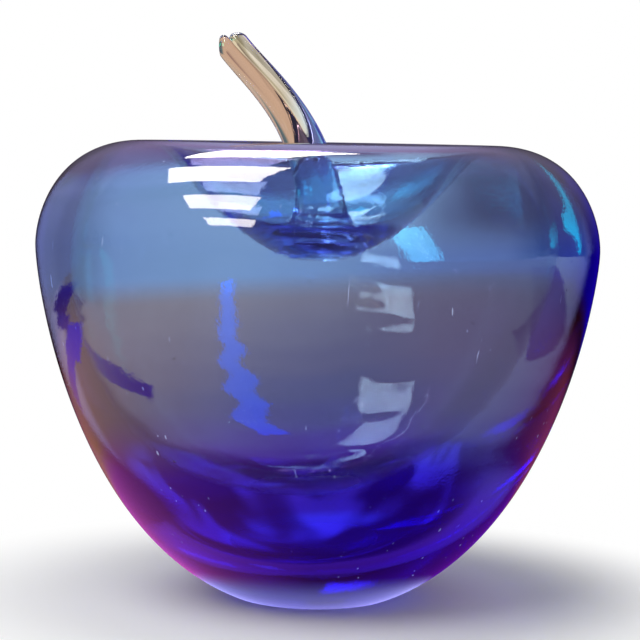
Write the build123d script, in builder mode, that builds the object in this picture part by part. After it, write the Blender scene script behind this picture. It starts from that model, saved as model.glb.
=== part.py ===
# Blown glass apple: a hollow coloured body with a dimpled top, and a clear glass stem
# that is set hot into the dimple and closes the blow hole. Millimetres, +Z up,
# with the origin at the centre of the ground base.
import os

from build123d import *

# Outside of the body
BODY_RADIUS = 55.0        # half the width, at the fullest height
BODY_HEIGHT = 89.3        # base to the top of the rim
FULLEST_HEIGHT = 69.0     # base to the fullest height
RIM_RADIUS = 34.3         # radius of the highest ring
GRIND_DEPTH = 2.9         # how much of the round bottom is ground away
BOTTOM_PULL = 45.2        # how far the round bottom runs out level
FLANK_PULL = 8.2          # how far the flank runs straight down from the fullest height
SHOULDER_PULL = 6.4       # how far the shoulder runs straight up from it
RIM_PULL = 16.5           # how far the rim runs out level towards the shoulder

# Dimple in the top
DIMPLE_DEPTH = 18.0       # rim to the seat of the stem
SEAT_RADIUS = 8.0         # flat seat at the bottom of the dimple
DIMPLE_LIP_PULL = 6.0     # how far the rim runs in level before it drops
DIMPLE_FLOOR_PULL = 12.0  # how far the dimple runs out level from the seat
BLOW_HOLE_RADIUS = 3.5

# Wall of the body
WALL = 8.0                # at the fullest height
RIM_WALL = 4.0            # at the highest ring
SEAT_WALL = 5.3           # under the seat of the stem
BASE_THICKNESS = 16.0     # at the middle of the base
CAVITY_FLOOR_PULL = 40.0  # how far the floor of the cavity runs out level
CAVITY_FLANK_PULL = 6.0  # how far the cavity runs straight down from the fullest height
CAVITY_SHOULDER_PULL = 6.0
CAVITY_RIM_PULL = 9.0     # how far the cavity's top runs out level
CAVITY_LIP_PULL = 5.3     # how far it runs in level before it drops
CAVITY_SEAT_PULL = 5.0    # how far it runs out level under the seat

# Stem: a two-lobed rod that bends towards -X
STEM_REACH = 18.0         # sideways, from the axis to the tip
STEM_HEIGHT = 37.9        # seat to the tip
STEM_TIP_LEAN = 34.0      # degrees from upright at the tip
STEM_ROOT_PULL = 23.0     # how far the rod runs straight up from the seat
STEM_TIP_PULL = 9.0       # how far the rod runs straight back from the tip
FOOT_HALF_WIDTH = 7.0     # where the foot sits on the seat
FOOT_CREASE = 6.6         # half the depth at the crease between the lobes
NECK_HALF_WIDTH = 4.9     # just above the foot
NECK_CREASE = 3.2
ROD_HALF_WIDTH = 3.6      # half way up
ROD_CREASE = 2.0
TIP_HALF_WIDTH = 3.2      # at the end
TIP_CREASE = 1.6
TIP_ROUNDING = 1.4        # of the end, within the depth at the crease

seat_height = BODY_HEIGHT - DIMPLE_DEPTH
cavity_top = BODY_HEIGHT - RIM_WALL
cavity_ceiling = seat_height - SEAT_WALL
cavity_radius = BODY_RADIUS - WALL

# Body: blown round, then hollow, pierced at the blow hole and ground flat below
with BuildPart() as apple_body:
    with BuildSketch(Plane.XZ):
        with BuildLine():
            Bezier(
                (0, -GRIND_DEPTH),
                (BOTTOM_PULL, -GRIND_DEPTH),
                (BODY_RADIUS, FULLEST_HEIGHT - FLANK_PULL),
                (BODY_RADIUS, FULLEST_HEIGHT),
            )
            Bezier(
                (BODY_RADIUS, FULLEST_HEIGHT),
                (BODY_RADIUS, FULLEST_HEIGHT + SHOULDER_PULL),
                (RIM_RADIUS + RIM_PULL, BODY_HEIGHT),
                (RIM_RADIUS, BODY_HEIGHT),
            )
            Bezier(
                (RIM_RADIUS, BODY_HEIGHT),
                (RIM_RADIUS - DIMPLE_LIP_PULL, BODY_HEIGHT),
                (SEAT_RADIUS + DIMPLE_FLOOR_PULL, seat_height),
                (SEAT_RADIUS, seat_height),
            )
            Polyline((SEAT_RADIUS, seat_height), (0, seat_height), (0, -GRIND_DEPTH))
        make_face()
    revolve(axis=Axis.Z)
    with BuildSketch(Plane.XZ):
        with BuildLine():
            Bezier(
                (0, BASE_THICKNESS),
                (CAVITY_FLOOR_PULL, BASE_THICKNESS),
                (cavity_radius, FULLEST_HEIGHT - CAVITY_FLANK_PULL),
                (cavity_radius, FULLEST_HEIGHT),
            )
            Bezier(
                (cavity_radius, FULLEST_HEIGHT),
                (cavity_radius, FULLEST_HEIGHT + CAVITY_SHOULDER_PULL),
                (RIM_RADIUS + CAVITY_RIM_PULL, cavity_top),
                (RIM_RADIUS, cavity_top),
            )
            Bezier(
                (RIM_RADIUS, cavity_top),
                (RIM_RADIUS - CAVITY_LIP_PULL, cavity_top),
                (SEAT_RADIUS + CAVITY_SEAT_PULL, cavity_ceiling),
                (SEAT_RADIUS, cavity_ceiling),
            )
            Polyline((SEAT_RADIUS, cavity_ceiling), (0, cavity_ceiling), (0, BASE_THICKNESS))
        make_face()
    revolve(axis=Axis.Z, mode=Mode.SUBTRACT)
    with BuildSketch(Plane.XY.offset(cavity_ceiling)):
        Circle(BLOW_HOLE_RADIUS)
    extrude(amount=SEAT_WALL, mode=Mode.SUBTRACT)
    split(bisect_by=Plane.XY, keep=Keep.TOP)

# Centre line of the stem, upright at the seat and leaning at the tip
tip_back = Vector(0, 0, -STEM_TIP_PULL).rotate(Axis.Y, -STEM_TIP_LEAN)
tip_point = Vector(-STEM_REACH, 0, seat_height + STEM_HEIGHT)
stem_line = Bezier(
    Vector(0, 0, seat_height),
    Vector(0, 0, seat_height + STEM_ROOT_PULL),
    tip_point + tip_back,
    tip_point,
)

# Stem: a foot that sits on the seat, the lobed rod, and the plug in the blow hole
with BuildPart() as stem:
    for place, half_width, crease in (
        (0.0, FOOT_HALF_WIDTH, FOOT_CREASE),
        (0.16, NECK_HALF_WIDTH, NECK_CREASE),
        (0.55, ROD_HALF_WIDTH, ROD_CREASE),
        (1.0, TIP_HALF_WIDTH, TIP_CREASE),
    ):
        along = stem_line % place
        section = Plane(stem_line @ place, x_dir=Vector(0, 1, 0).cross(along), z_dir=along)
        with BuildSketch(section):
            with BuildLine():
                ThreePointArc((0, crease), (half_width, 0), (0, -crease))
                ThreePointArc((0, -crease), (-half_width, 0), (0, crease))
            make_face()
    loft()
    tip_face = stem.faces().filter_by(GeomType.PLANE).sort_by(Axis.Z)[-1]
    fillet(tip_face.edges(), radius=min(TIP_ROUNDING, 0.9 * TIP_CREASE))
    with BuildSketch(Plane.XY.offset(cavity_ceiling)):
        Circle(BLOW_HOLE_RADIUS)
    extrude(amount=SEAT_WALL)

os.makedirs("parts", exist_ok=True)
apple_body.part.label = "apple_body"
export_step(apple_body.part, "parts/apple_body.step")
stem.part.label = "stem"
export_step(stem.part, "parts/stem.step")
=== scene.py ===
from math import atan2, cos, exp, hypot, pi, radians, sin, sqrt
from random import Random

import bmesh
import bpy
from mathutils import Euler, Matrix, Vector
from mathutils.geometry import interpolate_bezier


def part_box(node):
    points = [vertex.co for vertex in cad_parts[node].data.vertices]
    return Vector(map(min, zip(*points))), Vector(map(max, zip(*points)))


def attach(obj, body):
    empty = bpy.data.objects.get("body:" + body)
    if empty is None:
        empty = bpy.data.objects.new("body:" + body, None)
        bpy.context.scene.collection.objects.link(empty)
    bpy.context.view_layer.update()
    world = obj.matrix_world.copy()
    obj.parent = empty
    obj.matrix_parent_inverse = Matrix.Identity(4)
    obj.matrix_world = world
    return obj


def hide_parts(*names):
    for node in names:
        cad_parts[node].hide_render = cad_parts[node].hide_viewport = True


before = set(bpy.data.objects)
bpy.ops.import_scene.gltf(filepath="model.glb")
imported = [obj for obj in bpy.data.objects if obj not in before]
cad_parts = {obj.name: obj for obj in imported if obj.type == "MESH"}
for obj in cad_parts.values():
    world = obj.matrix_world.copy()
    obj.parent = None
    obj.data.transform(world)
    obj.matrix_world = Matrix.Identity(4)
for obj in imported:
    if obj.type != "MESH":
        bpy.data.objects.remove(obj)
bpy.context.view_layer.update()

scene = bpy.context.scene
scene.view_settings.view_transform = "Standard"

# The body: one bubble of blue glass, blown on the pipe, pushed in at the top for the
# dimple and ground flat under its thick base. It was turned by hand, so its wall is
# thicker low at the back, swells and ripples, and small seeds of air are in it.
MM = 0.001
BODY_RADIUS = 55.0 * MM
BODY_HEIGHT = 89.3 * MM
FULLEST_HEIGHT = 69.0 * MM
RIM_RADIUS = 34.3 * MM
GRIND_DEPTH = 2.9 * MM
BOTTOM_PULL = 45.2 * MM
FLANK_PULL = 8.2 * MM
SHOULDER_PULL = 6.4 * MM
RIM_PULL = 16.5 * MM
DIMPLE_DEPTH = 18.0 * MM
SEAT_RADIUS = 8.0 * MM
DIMPLE_LIP_PULL = 6.0 * MM
DIMPLE_FLOOR_PULL = 12.0 * MM
WALL = 8.0 * MM
RIM_WALL = 4.0 * MM
SEAT_WALL = 5.3 * MM
BASE_THICKNESS = 16.0 * MM
CAVITY_FLOOR_PULL = 40.0 * MM
CAVITY_FLANK_PULL = 6.0 * MM
CAVITY_SHOULDER_PULL = 6.0 * MM
CAVITY_RIM_PULL = 9.0 * MM
CAVITY_LIP_PULL = 3.0 * MM
CAVITY_SEAT_RADIUS = 3.0 * MM
CAVITY_SEAT_PULL = 12.0 * MM
CAVITY_LEAN = -0.05
BACK_SLANT = 0.27
BACK_START = 62.0 * MM
BACK_DROP = 32.0 * MM
BACK_SOFTNESS = 8.0 * MM
BACK_TURN = radians(6)
GROUND_EDGE = 0.35 * MM
OUTSIDE_SWELL = 0.08 * MM
CAVITY_SWELL = 0.3 * MM
SWELL_WAVES = ((2, 0.8, 0.6, 1.0), (3, 0.0, -1.1, 0.6), (5, 0.0, 2.0, 0.35))
SWELL_CLIMB = 30.0 * MM
SWELL_FADE = 20.0 * MM
DIMPLE_FADE = 15.0 * MM
RIPPLE = 0.028 * MM
RIPPLE_PITCH = 5.0 * MM
RIPPLE_RANGE = (30.0 * MM, 62.0 * MM)
RIPPLE_FADE = 8.0 * MM
RIPPLE_WANDER = ((2.0, 3, 1.0), (1.2, 7, 0.0))
BODY_STEPS = 200
CURVE_STEPS = 40
FLANK_STEPS = 90
MERGE_GAP = 0.005 * MM
SEED_COUNT = 34
SEED_DEPTH = 3.2 * MM
SEED_RISE = 0.4
SEED_RADIUS = (0.1 * MM, 0.3 * MM)

seat_height = BODY_HEIGHT - DIMPLE_DEPTH
cavity_top = BODY_HEIGHT - RIM_WALL
cavity_ceiling = seat_height - SEAT_WALL
cavity_radius = BODY_RADIUS - WALL
thick_side = Vector((sin(BACK_TURN), cos(BACK_TURN), 0))


def curve_points(curve, steps):
    """Points along a Bezier curve that is given as (radius, height) knots."""
    knots = [Vector((radius, 0, height)) for radius, height in curve]
    return interpolate_bezier(*knots, steps)


def spin_shell(mesh, curves, steps):
    """Turn half a section, which starts on the axis, into a closed shell. Return its faces."""
    before = set(mesh.faces)
    points = [point for curve, count in zip(curves, steps) for point in curve_points(curve, count)]
    points.append(Vector((0, 0, points[-1].z)))
    verts = [mesh.verts.new(point) for point in points]
    edges = [mesh.edges.new(pair) for pair in zip(verts, verts[1:])]
    bmesh.ops.spin(mesh, geom=verts + edges, cent=(0, 0, 0), axis=(0, 0, 1), angle=2 * pi,
                   steps=BODY_STEPS, use_merge=True)
    shell = [face for face in mesh.faces if face not in before]
    shell_verts = list({vert for face in shell for vert in face.verts})
    bmesh.ops.remove_doubles(mesh, verts=shell_verts, dist=MERGE_GAP)
    shell = [face for face in mesh.faces if face not in before]
    bmesh.ops.recalc_face_normals(mesh, faces=shell)
    return shell


def hand_swell(point):
    """Slow swells round the axis that drift with height, between about -2 and 2."""
    turn = atan2(point.y, point.x)
    climb = point.z / SWELL_CLIMB
    return sum(share * sin(lobes * turn + start + drift * climb)
               for lobes, start, drift, share in SWELL_WAVES)


def inner_ripple(point):
    """Fine rings on the middle of the inner wall that wander round the axis, between -1 and 1."""
    turn = atan2(point.y, point.x)
    edge = min(point.z - RIPPLE_RANGE[0], RIPPLE_RANGE[1] - point.z) / RIPPLE_FADE
    wave = 2 * pi * point.z / RIPPLE_PITCH
    for size, lobes, start in RIPPLE_WANDER:
        wave += size * sin(lobes * turn + start)
    return sin(wave) * min(1, max(0, edge))


flank_curve = ((0, -GRIND_DEPTH), (BOTTOM_PULL, -GRIND_DEPTH),
               (BODY_RADIUS, FULLEST_HEIGHT - FLANK_PULL), (BODY_RADIUS, FULLEST_HEIGHT))
shoulder_curve = ((BODY_RADIUS, FULLEST_HEIGHT), (BODY_RADIUS, FULLEST_HEIGHT + SHOULDER_PULL),
                  (RIM_RADIUS + RIM_PULL, BODY_HEIGHT), (RIM_RADIUS, BODY_HEIGHT))
dimple_curve = ((RIM_RADIUS, BODY_HEIGHT), (RIM_RADIUS - DIMPLE_LIP_PULL, BODY_HEIGHT),
                (SEAT_RADIUS + DIMPLE_FLOOR_PULL, seat_height), (SEAT_RADIUS, seat_height))
cavity_flank_curve = ((0, BASE_THICKNESS), (CAVITY_FLOOR_PULL, BASE_THICKNESS),
                      (cavity_radius, FULLEST_HEIGHT - CAVITY_FLANK_PULL),
                      (cavity_radius, FULLEST_HEIGHT))
cavity_shoulder_curve = ((cavity_radius, FULLEST_HEIGHT),
                         (cavity_radius, FULLEST_HEIGHT + CAVITY_SHOULDER_PULL),
                         (RIM_RADIUS + CAVITY_RIM_PULL, cavity_top), (RIM_RADIUS, cavity_top))
cavity_dimple_curve = ((RIM_RADIUS, cavity_top), (RIM_RADIUS - CAVITY_LIP_PULL, cavity_top),
                       (CAVITY_SEAT_RADIUS + CAVITY_SEAT_PULL, cavity_ceiling),
                       (CAVITY_SEAT_RADIUS, cavity_ceiling))

body_mesh = bmesh.new()
spin_shell(body_mesh, (flank_curve, shoulder_curve, dimple_curve),
           (FLANK_STEPS, CURVE_STEPS, CURVE_STEPS))
bmesh.ops.bisect_plane(body_mesh, geom=body_mesh.verts[:] + body_mesh.edges[:] + body_mesh.faces[:],
                       plane_co=(0, 0, 0), plane_no=(0, 0, -1), clear_outer=True)
ground_rim = [edge for edge in body_mesh.edges if edge.is_boundary]
bmesh.ops.edgeloop_fill(body_mesh, edges=ground_rim)
bmesh.ops.recalc_face_normals(body_mesh, faces=body_mesh.faces[:])
bmesh.ops.bevel(body_mesh, geom=ground_rim, offset=GROUND_EDGE, offset_type="OFFSET", affect="EDGES",
                segments=3, profile=0.5, material=-1)
for vert in body_mesh.verts:
    reach = hypot(vert.co.x, vert.co.y)
    if reach > SEAT_RADIUS and vert.co.z > GROUND_EDGE:
        fade = min(1, vert.co.z / SWELL_FADE, (reach - SEAT_RADIUS) / DIMPLE_FADE)
        outward = Vector((vert.co.x, vert.co.y, 0)).normalized()
        vert.co += outward * hand_swell(vert.co) * OUTSIDE_SWELL * fade

cavity = spin_shell(body_mesh, (cavity_flank_curve, cavity_shoulder_curve, cavity_dimple_curve),
                    (FLANK_STEPS, CURVE_STEPS, CURVE_STEPS))
bmesh.ops.reverse_faces(body_mesh, faces=cavity)
for vert in {vert for face in cavity for vert in face.verts}:
    outward = Vector((vert.co.x, vert.co.y, 0))
    fade = min(1, outward.length / SWELL_FADE)
    outward.normalize()
    swell = CAVITY_SWELL * hand_swell(vert.co) + RIPPLE * inner_ripple(vert.co) * outward.y ** 2
    vert.co += outward * swell * fade
    drop = min(BACK_START - vert.co.z, BACK_DROP)
    thicker = BACK_SLANT * (drop + hypot(drop, BACK_SOFTNESS)) / 2
    vert.co.x += CAVITY_LEAN * max(0, FULLEST_HEIGHT - vert.co.z)
    vert.co -= thick_side * thicker * max(0, outward.dot(thick_side)) ** 2 * fade

chance = Random(5)
flank_points = curve_points(flank_curve, FLANK_STEPS)[FLANK_STEPS // 3:-4]
for seed in range(SEED_COUNT):
    inside = chance.choice(flank_points) + Vector((-SEED_DEPTH, 0, SEED_RISE * SEED_DEPTH))
    centre = Matrix.Rotation(chance.uniform(0, 2 * pi), 3, "Z") @ inside
    before = set(body_mesh.faces)
    bmesh.ops.create_icosphere(body_mesh, subdivisions=2, radius=chance.uniform(*SEED_RADIUS),
                               matrix=Matrix.Translation(centre))
    bmesh.ops.reverse_faces(body_mesh, faces=[face for face in body_mesh.faces if face not in before])

body_data = bpy.data.meshes.new("blown_body")
body_mesh.to_mesh(body_data)
body_mesh.free()
body_data.shade_smooth()
blown_body = bpy.data.objects.new("blown_body", body_data)
scene.collection.objects.link(blown_body)

# Marks of making and use on polished glass: an orange peel too fine to feel, specks of
# dust, hair scratches, and the matt face where the glass is ground. Both glasses take it.
# The specks and scratches glow with light of their own: painted glints on real dust and
# scratches, which only the blue glass shows.
HAIR_TURN = (0.5, 0.7, 0.9)
HAIR_SCALE = (1600, 1600, 160)
HAIR_RANGE = (0.82, 0.86)
WORN_SCALE = 45.0
WORN_RANGE = (0.54, 0.7)
# Painted glints: the dust specks and hair scratches glow in this colour.
NO_DUST_GLINT = (0, 0, 0, 1)
DUST_GLINT_COLOUR = (0.22, 0.27, 0.36, 1)
GROUND_ROUGHNESS = 0.5


def add(tree, kind, settings, inputs):
    """Add a shader node with its settings, and give each of its inputs a value or a link."""
    made = tree.nodes.new("ShaderNode" + kind)
    for name, value in settings.items():
        setattr(made, name, value)
    for key, value in inputs.items():
        if isinstance(value, bpy.types.NodeSocket):
            tree.links.new(value, made.inputs[key])
        else:
            made.inputs[key].default_value = value
    return made


def calculate(tree, operation, first, second):
    """The result of a sum on two values or sockets."""
    return add(tree, "Math", {"operation": operation}, {0: first, 1: second}).outputs[0]


def mix(tree, factor, first, second, blend_type="MIX"):
    """A colour between two colours: the first where the factor is 0, the second where it is 1."""
    mixed = add(tree, "Mix", {"data_type": "RGBA", "blend_type": blend_type},
                {"Factor": factor, "A": first, "B": second})
    return mixed.outputs["Result"]


marks = bpy.data.node_groups.new("glass_marks", "ShaderNodeTree")
marks.interface.new_socket("Place", in_out="INPUT", socket_type="NodeSocketVector")
for name, value in (("Peel Size", 0.6 * MM), ("Speck Spacing", 9 * MM), ("Speck Size", 0.022),
                    ("Ground Below", 0.1 * MM)):
    socket = marks.interface.new_socket(name, in_out="INPUT", socket_type="NodeSocketFloat")
    socket.default_value = value
marks.interface.new_socket("Peel", in_out="OUTPUT", socket_type="NodeSocketFloat")
marks.interface.new_socket("Dust Glint", in_out="OUTPUT", socket_type="NodeSocketColor")
marks.interface.new_socket("Roughness", in_out="OUTPUT", socket_type="NodeSocketFloat")
given = marks.nodes.new("NodeGroupInput")
peel_scale = calculate(marks, "DIVIDE", 1.0, given.outputs["Peel Size"])
peel = add(marks, "TexNoise", {},
           {"Vector": given.outputs["Place"], "Scale": peel_scale, "Detail": 2.0})
speck_scale = calculate(marks, "DIVIDE", 1.0, given.outputs["Speck Spacing"])
cells = add(marks, "TexVoronoi", {}, {"Vector": given.outputs["Place"], "Scale": speck_scale})
lot = add(marks, "SeparateColor", {}, {0: cells.outputs["Color"]})
speck_reach = calculate(marks, "MULTIPLY", lot.outputs[0], given.outputs["Speck Size"])
dots = calculate(marks, "LESS_THAN", cells.outputs["Distance"], speck_reach)
hair = add(marks, "Mapping", {},
           {"Vector": given.outputs["Place"], "Rotation": HAIR_TURN, "Scale": HAIR_SCALE})
hairs = add(marks, "TexNoise", {}, {"Vector": hair.outputs[0], "Scale": 1.0, "Detail": 0.0})
fine = add(marks, "MapRange", {},
           {"Value": hairs.outputs[0], "From Min": HAIR_RANGE[0], "From Max": HAIR_RANGE[1]})
patch = add(marks, "TexNoise", {},
            {"Vector": given.outputs["Place"], "Scale": WORN_SCALE, "Detail": 1.0})
worn = add(marks, "MapRange", {},
           {"Value": patch.outputs[0], "From Min": WORN_RANGE[0], "From Max": WORN_RANGE[1]})
scratches = calculate(marks, "MULTIPLY", fine.outputs[0], worn.outputs[0])
specks = calculate(marks, "MAXIMUM", dots, scratches)
spot = add(marks, "SeparateXYZ", {}, {0: given.outputs["Place"]})
ground = calculate(marks, "LESS_THAN", spot.outputs["Z"], given.outputs["Ground Below"])
put_out = marks.nodes.new("NodeGroupOutput")
marks.links.new(peel.outputs[0], put_out.inputs["Peel"])
marks.links.new(mix(marks, specks, NO_DUST_GLINT, DUST_GLINT_COLOUR), put_out.inputs["Dust Glint"])
marks.links.new(calculate(marks, "MULTIPLY", ground, GROUND_ROUGHNESS), put_out.inputs["Roughness"])

# Blue glass: the colour is in the glass itself, so the thick base is deep ultramarine. The
# wall is violet low down and at the rim. Its smoky grey middle is painted in for the room
# seen through the glass, and the sky-blue band above, with its sharp lower edge, is a
# painted reflection of a sky. It is darker on the right, through the middle and again high
# up, and it is painted pale in the dimple so that the bowl there looks lit.
BLUE_ABSORPTION = (58, 56, 10)
BLUE_DENSITY = 100
# By height: the grey middle (0.24 to 0.66) is painted in for the room seen through the glass, and the
# sky-blue band above it (0.71 to about 0.93) is a painted reflection of a sky.
BLUE_AND_PAINTED_VIEW_STOPS = ((0.0, (0.90, 0.60, 0.95)), (0.025, (0.62, 0.12, 0.34)), (0.085, (0.64, 0.11, 0.30)),
              (0.125, (0.64, 0.16, 0.80)), (0.24, (0.62, 0.58, 0.68)), (0.34, (0.56, 0.62, 0.57)),
              (0.45, (0.66, 0.67, 0.54)), (0.66, (0.77, 0.78, 0.60)), (0.71, (0.72, 0.94, 0.86)),
              (0.86, (0.72, 0.94, 0.86)), (0.885, (0.64, 0.88, 0.80)), (0.90, (0.80, 1.0, 0.98)),
              (0.915, (0.68, 0.92, 0.86)), (0.928, (0.60, 0.76, 0.76)), (0.944, (0.44, 0.34, 0.42)),
              (1.0, (0.40, 0.24, 0.38)))
BLUE_UPWARD = (-0.05, 0.076, 1)
UNEVEN_SCALE = 28.0
UNEVEN_RANGE = (0.3, 0.7)
UNEVEN_SWAY = 10 * MM
DEEPER_SIDE = (0.72, 0.70, 0.80, 1)
DEEPER_ACROSS = (-15 * MM, 45 * MM)
DEEPER_HEIGHT = (0.25, 0.6)
SMOKY_SIDE = (0.45, 0.41, 0.49, 1)
SMOKY_ACROSS = (16 * MM, 36 * MM)
SMOKY_HEIGHT = (0.72, 0.82)
PAINTED_PALE_DIMPLE = (0.74, 1.0, 1.0, 1)
PALE_REACH = (1.04 * RIM_RADIUS, 0.9 * RIM_RADIUS)
PALE_HEIGHT = (0.60, 0.70)
LEVEL = (1, 1, 0)
GLASS_IOR = 1.5
BODY_PEEL = 0.005 * MM


def empty_material(name):
    """A new material with no nodes in it yet."""
    material = bpy.data.materials.new(name)
    material.use_nodes = True
    material.node_tree.nodes.clear()
    return material


def set_ramp(ramp, stops):
    """Give a colour ramp its (position, colour) stops."""
    ramp.elements.remove(ramp.elements[1])
    ramp.elements[0].position = stops[0][0]
    ramp.elements[0].color = (*stops[0][1], 1)
    for position, colour in stops[1:]:
        ramp.elements.new(position).color = (*colour, 1)


def soft_step(tree, value, start, end):
    """A smooth factor that is 0 where the value is at start and 1 where it is at end."""
    step = add(tree, "MapRange", {"interpolation_type": "SMOOTHSTEP"},
               {"Value": value, "From Min": start, "From Max": end})
    return step.outputs[0]


blue_glass = empty_material("blue_glass")
tree = blue_glass.node_tree
place = add(tree, "TexCoord", {}, {})
spot = add(tree, "SeparateXYZ", {}, {0: place.outputs["Object"]})
slanted = add(tree, "VectorMath", {"operation": "DOT_PRODUCT"},
              {0: place.outputs["Object"], 1: BLUE_UPWARD})
share = add(tree, "MapRange", {}, {"Value": slanted.outputs["Value"], "From Max": BODY_HEIGHT})
height = share.outputs[0]
tint_and_painted_view = add(tree, "ValToRGB", {}, {0: height})
set_ramp(tint_and_painted_view.color_ramp, BLUE_AND_PAINTED_VIEW_STOPS)
uneven = add(tree, "TexNoise", {},
             {"Vector": place.outputs["Object"], "Scale": UNEVEN_SCALE, "Detail": 2.0})
sway = add(tree, "MapRange", {},
           {"Value": uneven.outputs[0], "From Min": UNEVEN_RANGE[0], "From Max": UNEVEN_RANGE[1],
            "To Min": -UNEVEN_SWAY, "To Max": UNEVEN_SWAY})
across = calculate(tree, "ADD", spot.outputs["X"], sway.outputs[0])
# Darker on the right: through the middle, and again high up.
upper = soft_step(tree, height, *SMOKY_HEIGHT)
lower = calculate(tree, "SUBTRACT", soft_step(tree, height, *DEEPER_HEIGHT), upper)
deep = calculate(tree, "MULTIPLY", soft_step(tree, across, *DEEPER_ACROSS), lower)
deeper = mix(tree, deep, tint_and_painted_view.outputs["Color"], DEEPER_SIDE, "MULTIPLY")
smoky = calculate(tree, "MULTIPLY", soft_step(tree, across, *SMOKY_ACROSS), upper)
smoked = mix(tree, smoky, deeper, SMOKY_SIDE, "MULTIPLY")
# Painted paler where the dimple is pushed in, so that its bowl looks lit.
level = add(tree, "VectorMath", {"operation": "MULTIPLY"}, {0: place.outputs["Object"], 1: LEVEL})
from_axis = add(tree, "VectorMath", {"operation": "LENGTH"}, {0: level.outputs[0]})
within = soft_step(tree, from_axis.outputs["Value"], *PALE_REACH)
painted_pale_bowl = calculate(tree, "MULTIPLY", within, soft_step(tree, height, *PALE_HEIGHT))
shade = mix(tree, painted_pale_bowl, smoked, PAINTED_PALE_DIMPLE)
used = add(tree, "Group", {"node_tree": marks}, {"Place": place.outputs["Object"]})
bump = add(tree, "Bump", {}, {"Strength": 1.0, "Distance": BODY_PEEL, "Height": used.outputs["Peel"]})
# Its emission is the painted glint of the dust specks and hair scratches.
surface = add(tree, "BsdfPrincipled", {},
              {"Base Color": shade, "Transmission Weight": 1.0, "IOR": GLASS_IOR,
               "Roughness": used.outputs["Roughness"], "Normal": bump.outputs[0],
               "Emission Color": used.outputs["Dust Glint"], "Emission Strength": 1.0})
kept_light = [1 - part / BLUE_DENSITY for part in BLUE_ABSORPTION]
absorb = add(tree, "VolumeAbsorption", {}, {"Color": (*kept_light, 1), "Density": BLUE_DENSITY})
add(tree, "OutputMaterial", {}, {"Surface": surface.outputs[0], "Volume": absorb.outputs[0]})
blown_body.data.materials.append(blue_glass)
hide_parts("apple_body")
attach(blown_body, "root")

# The stem: one bit of clear glass, doubled over so that it has two lobes, then pulled
# and bent while hot. Its foot is pressed on the seat in rings and fuses there, and the
# shears left two rounded bumps and a wrinkle at its tip.
STEM_SHIFT = 0.8 * MM
STEM_REACH = 18.0 * MM
STEM_HEIGHT = 37.9 * MM
STEM_TIP_LEAN = radians(34.0)
STEM_ROOT_PULL = 23.0 * MM
STEM_TIP_PULL = 9.0 * MM
FOOT_HALF_WIDTH = 7.0 * MM
NECK_HALF_WIDTH = 5.0 * MM
TIP_HALF_WIDTH = 3.2 * MM
FOOT_SINK = 0.4 * MM
FOOT_FADE = 0.06
FOOT_RINGS = 0.035
FOOT_RING_WAVE = 190
LOBE_OFFSET = 0.40
LOBE_FADE = 0.16
LOBE_BIAS = 0.05
CREASE_SOFTNESS = 0.12
CREASE_TWIST = radians(45)
TIP_START = 0.94
TIP_DOME = 2.4 * MM
TIP_LIFT = 3.0 * MM
TIP_NOTCH = 0.5 * MM
TIP_VALLEY = 0.24
SHEAR_WRINKLE = 0.06 * MM
SHEAR_WAVES = (9, 4)
SHEAR_PLACE = 0.6
SHEAR_SPREAD = 0.3
STEM_RING = 96
ROD_STATIONS = 120
TIP_STATIONS = 18

stem_root = Vector((STEM_SHIFT, 0, seat_height - FOOT_SINK))
stem_tip = Vector((-STEM_REACH, 0, seat_height + STEM_HEIGHT))
tip_back = Vector((sin(STEM_TIP_LEAN), 0, -cos(STEM_TIP_LEAN))) * STEM_TIP_PULL
root_up = Vector((0, 0, STEM_ROOT_PULL))
stem_line = interpolate_bezier(stem_root, stem_root + root_up, stem_tip + tip_back, stem_tip,
                               round(ROD_STATIONS / TIP_START) + 1)


def lobe_swing(turn, travel):
    """Turn about the rod measured from the middle of its right lobe, which winds along the rod."""
    return turn - CREASE_TWIST * (1 - travel) * travel * 2


def stem_reach(turn, travel):
    """How far the stem's skin is from its line: a round foot, then two lobes side by side."""
    swing = lobe_swing(turn, travel)
    width = TIP_HALF_WIDTH + (NECK_HALF_WIDTH - TIP_HALF_WIDTH) * (1 - travel) ** 2
    width += (FOOT_HALF_WIDTH - NECK_HALF_WIDTH) * exp(-travel / FOOT_FADE)
    offset = LOBE_OFFSET * (1 - exp(-travel / LOBE_FADE))
    lobe = offset * hypot(cos(swing), CREASE_SOFTNESS)
    lobe += sqrt((1 - offset) ** 2 - (offset * sin(swing)) ** 2)
    lobe *= 1 - LOBE_BIAS * cos(swing)
    rings = 1 + FOOT_RINGS * sin(travel * FOOT_RING_WAVE) * exp(-travel / FOOT_FADE)
    return width * lobe * rings


def stem_point(turn, station):
    """A point on the stem's skin, by turn about the rod and station along it, tip stations last."""
    step = min(station, ROD_STATIONS)
    travel = step / ROD_STATIONS * TIP_START
    along = (stem_line[step + 1] - stem_line[max(step - 1, 0)]).normalized()
    side = Vector((0, 1, 0)).cross(along)
    shrink = cos((station - step) / TIP_STATIONS * pi / 2)
    swing = lobe_swing(turn, travel)
    valley = exp(-(shrink * cos(swing) / TIP_VALLEY) ** 2)
    lift = Vector((0, 0, TIP_LIFT * max(0, -cos(swing)) * shrink * (1 - shrink ** 4)))
    wrinkle = SHEAR_WRINKLE * sin(SHEAR_WAVES[0] * shrink + SHEAR_WAVES[1] * turn)
    wrinkle *= exp(-((shrink - SHEAR_PLACE) / SHEAR_SPREAD) ** 2)
    cap = TIP_DOME * sqrt(1 - shrink ** 2) + (wrinkle - TIP_NOTCH * valley) * (1 - shrink ** 4)
    reach = stem_reach(turn, travel) * shrink
    outward = side * cos(turn) + Vector((0, 1, 0)) * sin(turn)
    return stem_line[step] + along * cap + lift + outward * reach


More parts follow.
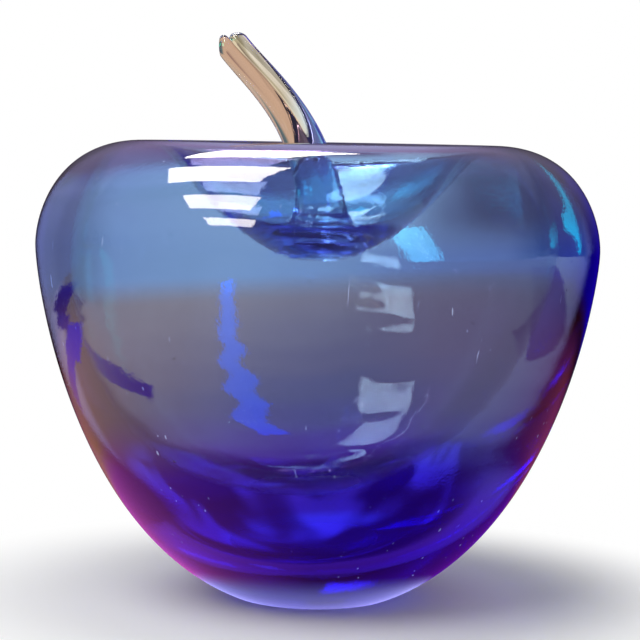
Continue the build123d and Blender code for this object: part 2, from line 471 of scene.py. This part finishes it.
stem_mesh = bmesh.new()
pulled = stem_mesh.verts.layers.float_vector.new("pulled")
bmesh.ops.create_circle(stem_mesh, segments=STEM_RING, radius=1.0)
ring_edges = stem_mesh.edges[:]
for station in range(ROD_STATIONS + TIP_STATIONS):
    grown = bmesh.ops.extrude_edge_only(stem_mesh, edges=ring_edges)["geom"]
    ring_edges = [item for item in grown if isinstance(item, bmesh.types.BMEdge)]
    ring = [item for item in grown if isinstance(item, bmesh.types.BMVert)]
    bmesh.ops.translate(stem_mesh, verts=ring, vec=(0, 0, 1))
for vert in stem_mesh.verts:
    turn = atan2(vert.co.y, vert.co.x)
    station = round(vert.co.z)
    travel = min(station / ROD_STATIONS, 1)
    swing = lobe_swing(turn, travel * TIP_START)
    vert[pulled] = (cos(swing), sin(swing), travel)
    vert.co = stem_point(turn, station)
bmesh.ops.remove_doubles(stem_mesh, verts=stem_mesh.verts[:], dist=MERGE_GAP)
foot_edges = [edge for edge in stem_mesh.edges if edge.is_boundary]
bmesh.ops.edgeloop_fill(stem_mesh, edges=foot_edges)
bmesh.ops.recalc_face_normals(stem_mesh, faces=stem_mesh.faces[:])
stem_data = bpy.data.meshes.new("pulled_stem")
stem_mesh.to_mesh(stem_data)
stem_mesh.free()
stem_data.shade_smooth()
pulled_stem = bpy.data.objects.new("pulled_stem", stem_data)
scene.collection.objects.link(pulled_stem)

# Clear glass with a warm tint. Its tan and cream streaks along the rod are painted
# reflections of the surroundings, the dark seam by the crease between the lobes is painted
# shade, and the dark band on the right lobe is a painted reflection. The pale blue low down
# on the outer side of the bend and at the foot is painted light.
# Painted reflections of the surroundings across the rod, with painted dark lines in them.
STREAK_AND_REFLECTION_STOPS = ((0.0, (0.62, 0.52, 0.42)), (0.07, (0.60, 0.40, 0.28)), (0.40, (0.58, 0.36, 0.23)),
                (0.46, (0.22, 0.14, 0.09)), (0.50, (0.74, 0.60, 0.40)), (0.72, (0.82, 0.70, 0.48)),
                (0.78, (0.24, 0.20, 0.11)), (0.86, (0.34, 0.30, 0.20)), (0.92, (0.84, 0.79, 0.76)))
STRAND_SCALE = (5, 5, 1.6)
STRAND_WANDER = 0.16
# Painted blue light, low on the outer side of the bend and at the foot.
PAINTED_BLUE_LIGHT = (0.66, 0.84, 0.95, 1)
COOL_SIDE = (0.55, 0.8)
COOL_TRAVEL = (0.62, 0.40)
FOOT_TRAVEL = (0.36, 0.26)
STEM_PEEL_SIZE = 0.8 * MM
STEM_PEEL = 0.003 * MM

clear_glass = empty_material("clear_glass")
tree = clear_glass.node_tree
followed = add(tree, "Attribute", {"attribute_name": "pulled"}, {})
pull = add(tree, "SeparateXYZ", {}, {0: followed.outputs["Vector"]})
stretch = add(tree, "Mapping", {}, {"Vector": followed.outputs["Vector"], "Scale": STRAND_SCALE})
strands = add(tree, "TexNoise", {}, {"Vector": stretch.outputs[0], "Scale": 1.0, "Detail": 3.0})
wander = add(tree, "MapRange", {},
             {"Value": strands.outputs[0], "To Min": -STRAND_WANDER, "To Max": STRAND_WANDER})
streak = add(tree, "MapRange", {}, {"Value": pull.outputs["X"], "From Min": -1.0})
streak_place = calculate(tree, "ADD", streak.outputs[0], wander.outputs[0])
streak_reflections = add(tree, "ValToRGB", {}, {0: streak_place})
set_ramp(streak_reflections.color_ramp, STREAK_AND_REFLECTION_STOPS)
outer_side = soft_step(tree, streak_place, *COOL_SIDE)
low_down = soft_step(tree, pull.outputs["Z"], *COOL_TRAVEL)
outer_edge = calculate(tree, "MULTIPLY", outer_side, low_down)
cool = calculate(tree, "MAXIMUM", outer_edge, soft_step(tree, pull.outputs["Z"], *FOOT_TRAVEL))
place = add(tree, "TexCoord", {}, {})
used = add(tree, "Group", {"node_tree": marks},
           {"Place": place.outputs["Object"], "Peel Size": STEM_PEEL_SIZE, "Ground Below": 0.0})
bump = add(tree, "Bump", {}, {"Strength": 1.0, "Distance": STEM_PEEL, "Height": used.outputs["Peel"]})
surface = add(tree, "BsdfPrincipled", {},
              {"Base Color": mix(tree, cool, streak_reflections.outputs["Color"], PAINTED_BLUE_LIGHT),
               "Transmission Weight": 1.0, "IOR": GLASS_IOR,
               "Roughness": used.outputs["Roughness"], "Normal": bump.outputs[0]})
add(tree, "OutputMaterial", {}, {"Surface": surface.outputs[0]})
pulled_stem.data.materials.append(clear_glass)
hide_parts("stem")
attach(pulled_stem, "root")

# The floor: a wide pale sheet. It carries the apple's soft shadow, and fades to white
# away from it. Under the apple it glows with the light that the glass gathers there.
FLOOR_HALF = 3.0
FLOOR_GAP = 0.05 * MM
FLOOR_COLOUR = (0.92, 0.92, 0.92, 1)
SHADOW_REACH = (0.045, 0.09)
GLOW_REACH = (0.03, 0.06)
# Painted surroundings, seen only through the glass: brown to the left, white ahead and behind, green to
# the right.
SIDE_STOPS = ((0.0, (0.40, 0.32, 0.24)), (0.10, (0.40, 0.32, 0.24)), (0.16, (1.0, 0.9, 0.8)),
              (0.3, (1, 1, 1)), (0.70, (1, 1, 1)), (0.82, (0.80, 0.88, 0.76)),
              (1.0, (0.72, 0.82, 0.68)))
GATHERED_LOW = (0.03, 0.02, 0.30, 1)
GATHERED_HIGH = (0.40, 0.45, 1.8, 1)
GATHERED_SCALE = 45.0
GATHERED_BEND = 0.8
GATHERED_RANGE = (0.44, 0.66)


def link_mesh(mesh, name):
    """Make a bmesh into a piece of the studio, which isn't part of the apple."""
    data = bpy.data.meshes.new(name)
    mesh.to_mesh(data)
    mesh.free()
    piece = bpy.data.objects.new(name, data)
    scene.collection.objects.link(piece)
    return piece


def seen_directly(tree):
    """A factor of 1 for what the eye, a reflection or a look through glass meets, else 0."""
    path = add(tree, "LightPath", {}, {})
    mirrored = calculate(tree, "MAXIMUM", path.outputs["Is Camera Ray"], path.outputs["Is Glossy Ray"])
    return calculate(tree, "MAXIMUM", mirrored, path.outputs["Is Transmission Ray"])


def from_middle(tree, place):
    """How far a point is from the middle of the apple's base, and its side: 0 for left, 1 for right."""
    far = add(tree, "VectorMath", {"operation": "LENGTH"}, {0: place.outputs["Object"]})
    side = add(tree, "VectorMath", {"operation": "NORMALIZE"}, {0: place.outputs["Object"]})
    spot = add(tree, "SeparateXYZ", {}, {0: side.outputs[0]})
    round_about = add(tree, "MapRange", {}, {"Value": spot.outputs["X"], "From Min": -1.0})
    return far.outputs["Value"], round_about.outputs[0]


floor_mesh = bmesh.new()
bmesh.ops.create_grid(floor_mesh, x_segments=1, y_segments=1, size=FLOOR_HALF)
bmesh.ops.translate(floor_mesh, verts=floor_mesh.verts[:], vec=(0, 0, -FLOOR_GAP))
floor = link_mesh(floor_mesh, "floor")
pale = empty_material("pale_floor")
tree = pale.node_tree
place = add(tree, "TexCoord", {}, {})
far, round_about = from_middle(tree, place)
whiten = calculate(tree, "MULTIPLY", seen_directly(tree), soft_step(tree, far, *SHADOW_REACH))
gathered = add(tree, "TexNoise", {}, {"Vector": place.outputs["Object"], "Scale": GATHERED_SCALE,
                                      "Detail": 1.0, "Distortion": GATHERED_BEND})
patches = soft_step(tree, gathered.outputs[0], *GATHERED_RANGE)
caught = mix(tree, patches, GATHERED_LOW, GATHERED_HIGH)
# Seen through the glass, the floor further out is painted brown to the left and green to the right.
sides = add(tree, "ValToRGB", {}, {0: round_about})
set_ramp(sides.color_ramp, SIDE_STOPS)
under = mix(tree, soft_step(tree, far, *GLOW_REACH), caught, sides.outputs["Color"])
matt = add(tree, "BsdfDiffuse", {}, {"Color": FLOOR_COLOUR})
white = add(tree, "Emission", {}, {})
blend = add(tree, "MixShader", {}, {0: whiten, 1: matt.outputs[0], 2: white.outputs[0]})
glow = add(tree, "Emission", {}, {"Color": under})
path = add(tree, "LightPath", {}, {})
either = add(tree, "MixShader", {},
             {0: path.outputs["Is Transmission Ray"], 1: blend.outputs[0], 2: glow.outputs[0]})
add(tree, "OutputMaterial", {}, {"Surface": either.outputs[0]})
floor.data.materials.append(pale)

# The background: white to the eye and through the glass, with a cool grey ceiling that
# only the glass picks up, and a soft grey as a light.
WORLD_LIGHT = 0.45
WHITE = (1, 1, 1, 1)
CEILING = (0.33, 0.29, 0.43, 1)
CEILING_HEIGHT = (0.15, 0.7)

world = bpy.data.worlds.new("studio")
scene.world = world
world.use_nodes = True
tree = world.node_tree
tree.nodes.clear()
place = add(tree, "TexCoord", {}, {})
spot = add(tree, "SeparateXYZ", {}, {0: place.outputs["Generated"]})
path = add(tree, "LightPath", {}, {})
upward = soft_step(tree, spot.outputs["Z"], *CEILING_HEIGHT)
overhead = calculate(tree, "MAXIMUM", upward, path.outputs["Is Glossy Ray"])
ceiling = add(tree, "Math", {"operation": "SUBTRACT", "use_clamp": True},
              {0: overhead, 1: path.outputs["Is Camera Ray"]})
white = add(tree, "Background", {}, {"Color": mix(tree, ceiling.outputs[0], WHITE, CEILING)})
soft = add(tree, "Background", {}, {"Color": WHITE, "Strength": WORLD_LIGHT})
blend = add(tree, "MixShader", {}, {0: seen_directly(tree), 1: soft.outputs[0], 2: white.outputs[0]})
add(tree, "OutputWorld", {}, {"Surface": blend.outputs[0]})

# The lamps: four wide strips hang side by side overhead, in front and to the left, and
# show as bright bars on the shoulder. A soft lamp over the floor gives the shadow.
STRIP_LENGTHS = (0.38, 0.38, 0.36, 0.25)
STRIP_WIDTH = 0.25
STRIP_TURN = radians(-30)
STRIP_GLOW = 18.0
STRIP_COLOUR = (1.0, 0.95, 0.89)
FIRST_STRIP = Vector((-0.63, -0.813, 0.68))
STRIP_STEP = Vector((0.175, 0.433, 0))
FILL_PLACE = Vector((-0.45, -0.35, 0.75))
FILL_SIZE = 0.8
FILL_POWER = 5.5

for number, length in enumerate(STRIP_LENGTHS):
    strip = bpy.data.lights.new(f"strip_{number + 1}", "AREA")
    strip.shape = "RECTANGLE"
    strip.size = length
    strip.size_y = STRIP_WIDTH
    strip.energy = STRIP_GLOW * pi * length * STRIP_WIDTH
    strip.color = STRIP_COLOUR
    holder = bpy.data.objects.new(strip.name, strip)
    centre = FIRST_STRIP + STRIP_STEP * number
    holder.matrix_world = Matrix.Translation(centre) @ Matrix.Rotation(STRIP_TURN, 4, "Z")
    holder.visible_camera = False
    holder.visible_diffuse = False
    scene.collection.objects.link(holder)
fill = bpy.data.lights.new("fill", "AREA")
fill.size = FILL_SIZE
fill.energy = FILL_POWER
fill_holder = bpy.data.objects.new("fill", fill)
fill_holder.location = FILL_PLACE
fill_holder.rotation_euler = (-FILL_PLACE).to_track_quat("-Z", "Y").to_euler()
fill_holder.visible_camera = False
fill_holder.visible_glossy = False
fill_holder.visible_transmission = False
scene.collection.objects.link(fill_holder)

# The cards: coloured sheets out of sight behind the apple and on the floor beside it, that
# only a look through the glass meets. They draw its edges dark against the white, and the
# bright ones light its right shoulder, the wall by the dimple and a streak in the wall.
UPRIGHT = pi / 2
FLAT = (0, 0, 0)
BACK_DISTANCE = 0.45
BACK_SPAN = (-0.5, 0.5)
BACK_STOPS = ((0.0, (0.40, 0.42, 0.42)), (0.22, (0.58, 0.62, 0.54)), (0.34, (1, 1, 1)),
              (0.64, (1, 1, 1)), (0.74, (0.17, 0.38, 0.55)), (1.0, (0.14, 0.20, 0.40)))
MAUVE = (0.17, 0.07, 0.22, 1)
MAUVE_HEIGHT = (0.12, 0.22)
MAUVE_SIDE = (0.06, 0.03)
WHITE_HEIGHT = (0.25, 0.33)
SMALL_CARDS = (
    ("bright_card", (0.41, 0.44, 0.055), 0.22, 0.026, (UPRIGHT, radians(-12.4), 0), (0.04, 2.8, 2.0, 1)),
    ("pale_card", (0.060, 0.44, 0.005), 0.020, 0.036, (UPRIGHT, radians(-25), 0), (1.3, 2.6, 2.34, 1)),
    ("sky_card", (0.135, 0.445, 0.05), 0.08, 0.04, (UPRIGHT, 0, 0), (1.08, 1.98, 1.8, 1)),
    ("blue_card", (-0.168, 0.075, 0.001), 0.076, 0.080, FLAT, (0.012, 0.0, 0.84, 1)),
    ("blue_end_card", (-0.090, 0.100, 0.001), 0.080, 0.050, (0, 0, radians(4)), (0.012, 0.0, 0.84, 1)),
    ("violet_card", (-0.345, 0.20, 0.001), 0.21, 0.20, FLAT, (0.04, 0.01, 0.26, 1)),
    ("violet_end_card", (-0.215, 0.155, 0.001), 0.05, 0.13, FLAT, (0.02, 0.01, 0.40, 1)),
    ("wine_card", (0.20, 0.03, 0.001), 0.205, 0.12, FLAT, (0.36, 0.30, 0.48, 1)),
    ("streak_card", (-0.006, 0.065, 0.001), 0.006, 0.387, (0, 0, radians(5.8)), (0.7, 1.12, 2.8, 1)))


def hang_card(name, foot, width, height, turn):
    """A card with the middle of its near edge at foot: it lies on the floor until it is turned."""
    mesh = bmesh.new()
    bmesh.ops.create_grid(mesh, x_segments=1, y_segments=1, size=0.5)
    bmesh.ops.translate(mesh, verts=mesh.verts[:], vec=(0, 0.5, 0))
    bmesh.ops.scale(mesh, verts=mesh.verts[:], vec=(width, height, 1))
    bmesh.ops.rotate(mesh, verts=mesh.verts[:], cent=(0, 0, 0), matrix=Euler(turn).to_matrix())
    bmesh.ops.translate(mesh, verts=mesh.verts[:], vec=foot)
    card = link_mesh(mesh, name)
    card.visible_camera = False
    card.visible_diffuse = False
    card.visible_glossy = False
    card.visible_shadow = False
    return card


back_card = hang_card("back_card", (0, BACK_DISTANCE, 0), 2.0, 1.0, (UPRIGHT, 0, 0))
toned = empty_material("toned_card")
tree = toned.node_tree
place = add(tree, "TexCoord", {}, {})
spot = add(tree, "SeparateXYZ", {}, {0: place.outputs["Object"]})
across = add(tree, "MapRange", {},
             {"Value": spot.outputs["X"], "From Min": BACK_SPAN[0], "From Max": BACK_SPAN[1]})
sides = add(tree, "ValToRGB", {}, {0: across.outputs[0]})
set_ramp(sides.color_ramp, BACK_STOPS)
sideways = add(tree, "Math", {"operation": "ABSOLUTE"}, {0: spot.outputs["X"]})
middle = soft_step(tree, sideways.outputs[0], *MAUVE_SIDE)
patch = calculate(tree, "MULTIPLY", soft_step(tree, spot.outputs["Z"], *MAUVE_HEIGHT), middle)
tone = mix(tree, patch, sides.outputs["Color"], MAUVE)
whole = mix(tree, soft_step(tree, spot.outputs["Z"], *WHITE_HEIGHT), tone, WHITE)
glow = add(tree, "Emission", {}, {"Color": whole})
add(tree, "OutputMaterial", {}, {"Surface": glow.outputs[0]})
back_card.data.materials.append(toned)

for name, foot, width, height, turn, colour in SMALL_CARDS:
    card = hang_card(name, foot, width, height, turn)
    material = empty_material(name)
    glow = add(material.node_tree, "Emission", {}, {"Color": colour})
    add(material.node_tree, "OutputMaterial", {}, {"Surface": glow.outputs[0]})
    card.data.materials.append(material)

# A dark cloth lies round the apple and stands up round the table. Only the polish of the
# glass picks it up: brown on the left, wine red on the right, and dark close by.
CLOTH_REACH = 0.9
CLOTH_RISE = 0.5
CLOTH_DROP = 0.03 * MM
CLOTH_STOPS = ((0.0, (0.85, 0.38, 0.20)), (0.12, (0.7, 0.28, 0.20)), (0.32, (0.16, 0.04, 0.12)),
               (0.62, (0.04, 0.01, 0.04)), (0.85, (0.36, 0.05, 0.12)))
CLOSE_STOPS = ((0.0, (0.85, 0.14, 0.7)), (0.5, (0.22, 0.03, 0.30)), (0.8, (0.16, 0.01, 0.4)))
CLOSE_REACH = (0.07, 0.105)
FOOT_LIGHT = (0.65, 0.62, 1.6, 1)
FOOT_LIGHT_REACH = (0.020, 0.027)
FALL_REACH = (0.15, 0.32)
FALL_END = 0.12
FAR_BLUE = (0.01, 0.0, 0.5, 1)
FAR_BLUE_REACH = (0.32, 0.45)
FAR_BLUE_SIDE = (0.6, 0.72)

cloth_mesh = bmesh.new()
bmesh.ops.create_circle(cloth_mesh, segments=64, radius=CLOTH_REACH, cap_ends=True)
hem = bmesh.ops.extrude_edge_only(cloth_mesh, edges=cloth_mesh.edges[:])["geom"]
hem_verts = [item for item in hem if isinstance(item, bmesh.types.BMVert)]
bmesh.ops.translate(cloth_mesh, verts=hem_verts, vec=(0, 0, CLOTH_RISE))
bmesh.ops.translate(cloth_mesh, verts=cloth_mesh.verts[:], vec=(0, 0, -CLOTH_DROP))
cloth = link_mesh(cloth_mesh, "cloth")
cloth.visible_camera = False
cloth.visible_diffuse = False
cloth.visible_transmission = False
cloth.visible_shadow = False
dark = empty_material("dark_cloth")
tree = dark.node_tree
place = add(tree, "TexCoord", {}, {})
far, round_about = from_middle(tree, place)
warm = add(tree, "ValToRGB", {}, {0: round_about})
set_ramp(warm.color_ramp, CLOTH_STOPS)
close = add(tree, "ValToRGB", {}, {0: round_about})
set_ramp(close.color_ramp, CLOSE_STOPS)
further = soft_step(tree, far, *CLOSE_REACH)
spread = mix(tree, further, close.outputs["Color"], warm.outputs["Color"])
tone = mix(tree, soft_step(tree, far, *FOOT_LIGHT_REACH), FOOT_LIGHT, spread)
fall = add(tree, "MapRange", {"interpolation_type": "SMOOTHSTEP"},
           {"Value": far, "From Min": FALL_REACH[0], "From Max": FALL_REACH[1],
            "To Min": 1.0, "To Max": FALL_END})
lying = add(tree, "Emission", {}, {"Color": tone, "Strength": fall.outputs[0]})
rightward = soft_step(tree, round_about, *FAR_BLUE_SIDE)
far_edge = calculate(tree, "MULTIPLY", soft_step(tree, far, *FAR_BLUE_REACH), rightward)
blue = add(tree, "Emission", {}, {"Color": FAR_BLUE})
spread_out = add(tree, "MixShader", {}, {0: far_edge, 1: lying.outputs[0], 2: blue.outputs[0]})
hanging = add(tree, "Emission", {}, {"Color": CEILING})
spot = add(tree, "SeparateXYZ", {}, {0: place.outputs["Object"]})
rise = soft_step(tree, spot.outputs["Z"], 0.0, CLOTH_RISE)
glow = add(tree, "MixShader", {}, {0: rise, 1: spread_out.outputs[0], 2: hanging.outputs[0]})
add(tree, "OutputMaterial", {}, {"Surface": glow.outputs[0]})
cloth.data.materials.append(dark)

# The view: from the height of the rim, through a long lens, with the camera turned by
# about one degree. Light has to cross many walls of glass, so it may bounce often.
IMAGE_SIDE = 640
SENSOR_WIDTH = 36.0
BODY_WIDTH_PIXELS = 560
VIEW_DISTANCE = 422.6 * MM
VIEW_HEIGHT = 90.9 * MM
VIEW_PITCH = 0.086
VIEW_ROLL = radians(-1.0)
MOST_BOUNCES = 24
MIRROR_BOUNCES = 16

scene.cycles.max_bounces = MOST_BOUNCES
scene.cycles.glossy_bounces = MIRROR_BOUNCES
scene.cycles.transmission_bounces = MOST_BOUNCES
body_low, body_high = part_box("apple_body")
focal_pixels = BODY_WIDTH_PIXELS * VIEW_DISTANCE / (body_high[0] - body_low[0])
view_lens = bpy.data.cameras.new("view")
view_lens.sensor_width = SENSOR_WIDTH
view_lens.lens = focal_pixels * SENSOR_WIDTH / IMAGE_SIDE
view_lens.clip_start = 10 * MM
camera = bpy.data.objects.new("view", view_lens)
camera.location = (0, -VIEW_DISTANCE, VIEW_HEIGHT)
camera.rotation_euler = (pi / 2 - VIEW_PITCH, VIEW_ROLL, 0)
scene.collection.objects.link(camera)
scene.camera = camera
